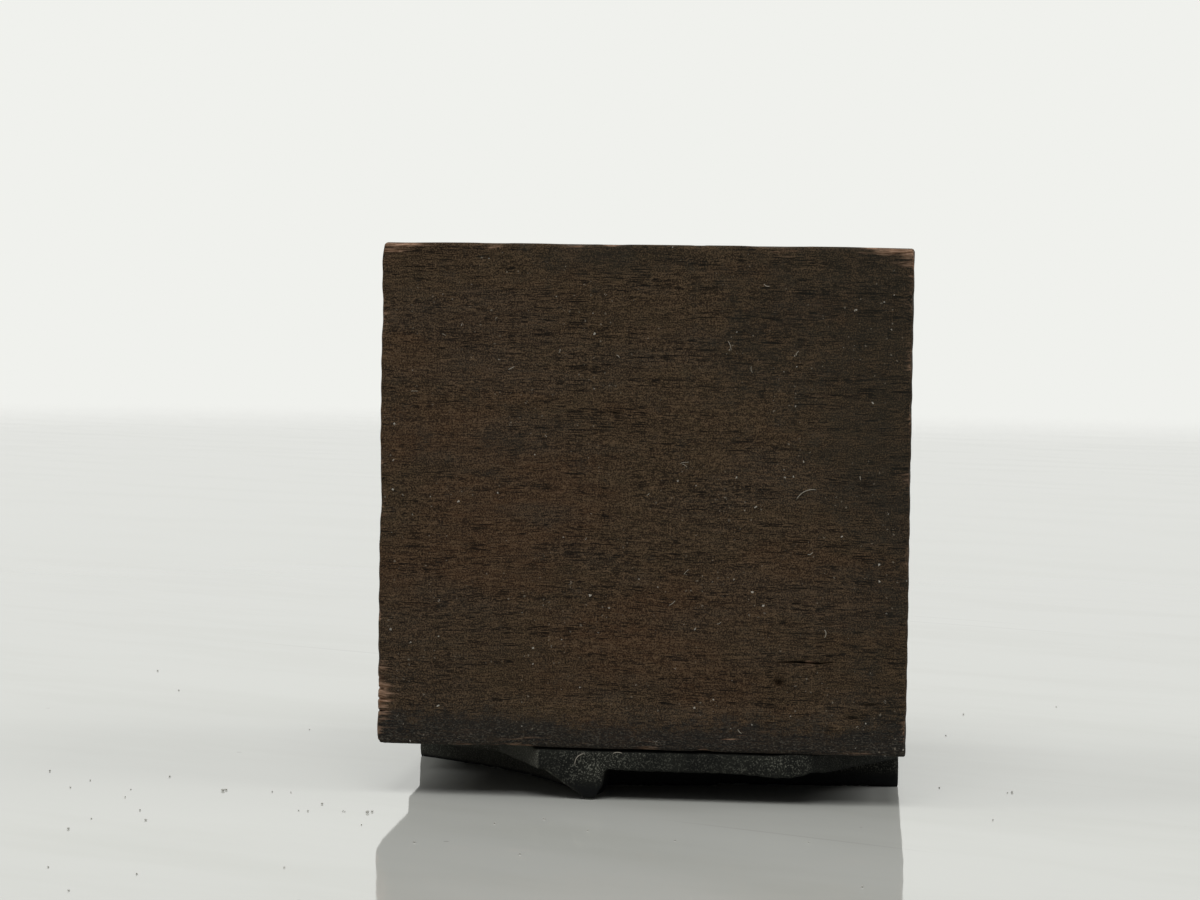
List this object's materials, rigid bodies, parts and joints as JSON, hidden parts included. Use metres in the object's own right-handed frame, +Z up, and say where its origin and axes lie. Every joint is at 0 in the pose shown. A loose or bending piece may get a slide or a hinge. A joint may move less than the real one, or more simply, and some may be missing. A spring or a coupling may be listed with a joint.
{
  "type": "letterpress printing block",
  "caption": "Type-high printing block: a small hardwood mount with a cast type-metal plate nailed under it, its face a fan leaf in relief.",
  "frame": {"origin": "centre of the printing face's level under the middle of the wooden mount, where the block stands", "axes": "+Z up from the printing face to the foot of the block, +X along the grain to the right, +Y from the front of the block to the back"},
  "size_m": [0.0222, 0.0202, 0.0233],
  "materials": {
    "stained_hardwood": "old, planed, ink-stained, worn pale at the edges",
    "type_metal": "cast lead alloy, dark with tarnish and dried ink",
    "brad_steel": "drawn wire, dull and browned, worn bright on the head"
  },
  "bodies": {
    "root": {"wood_block": "stained_hardwood", "printing_plate": "type_metal", "brad_front_left": "brad_steel", "brad_front_right": "brad_steel", "brad_left": "brad_steel", "brad_back_left": "brad_steel", "brad_back_middle": "brad_steel", "brad_back_right": "brad_steel"}
  },
  "joints": []
}
